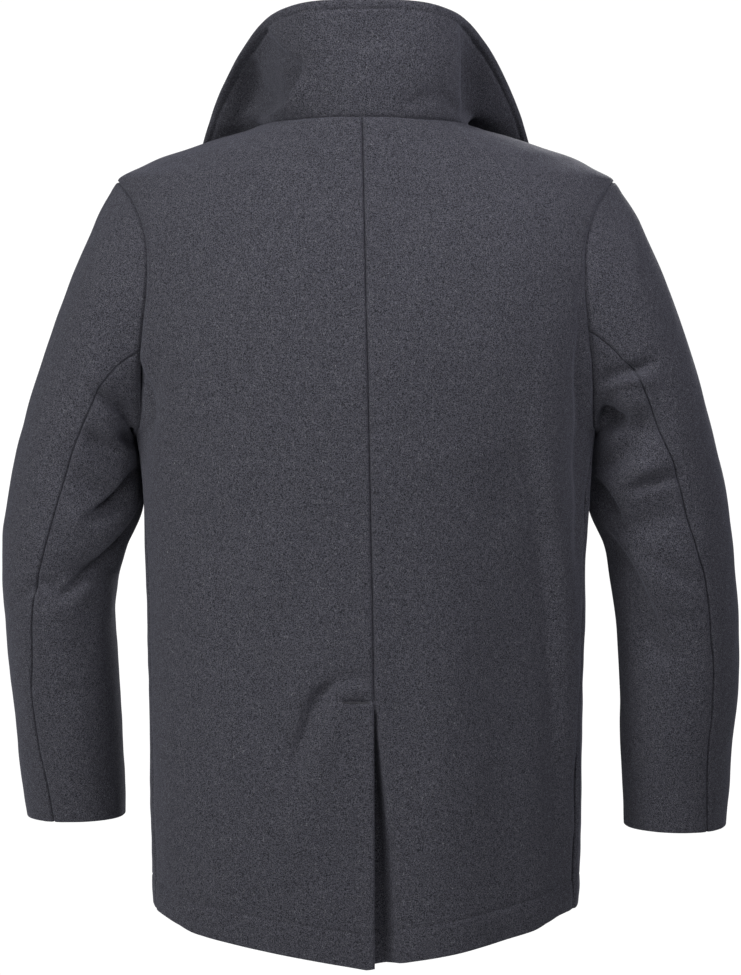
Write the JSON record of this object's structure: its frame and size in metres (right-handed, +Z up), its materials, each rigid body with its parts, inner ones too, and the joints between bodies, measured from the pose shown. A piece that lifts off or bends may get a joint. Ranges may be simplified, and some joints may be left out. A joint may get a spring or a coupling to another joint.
{
  "type": "pea coat",
  "caption": "Short double-breasted wool coat, filled out as worn, with a turned-up collar, open lapels, two-piece sleeves and a centre back vent.",
  "frame": {"origin": "middle of the neck opening, level with the collar seam at the centre back, where the wearer's neck and shoulders hold the coat", "axes": "+Z up, the coat's front faces -Y, the wearer's left is +X"},
  "size_m": [0.7059, 0.2859, 0.877],
  "materials": {
    "wool": "dark navy charcoal melted wool, fuzzy and matte",
    "button": "dark, softly shiny"
  },
  "bodies": {
    "root": {"back_left": "wool", "back_right": "wool", "front_left": "wool", "front_right": "wool", "top_sleeve_left": "wool", "under_sleeve_left": "wool", "top_sleeve_right": "wool", "under_sleeve_right": "wool", "collar": "wool", "lapel_left": "wool", "lapel_right": "wool", "button_left_1": "button", "button_left_2": "button", "button_left_3": "button", "button_right_1": "button", "button_right_2": "button", "button_right_3": "button"}
  },
  "joints": []
}
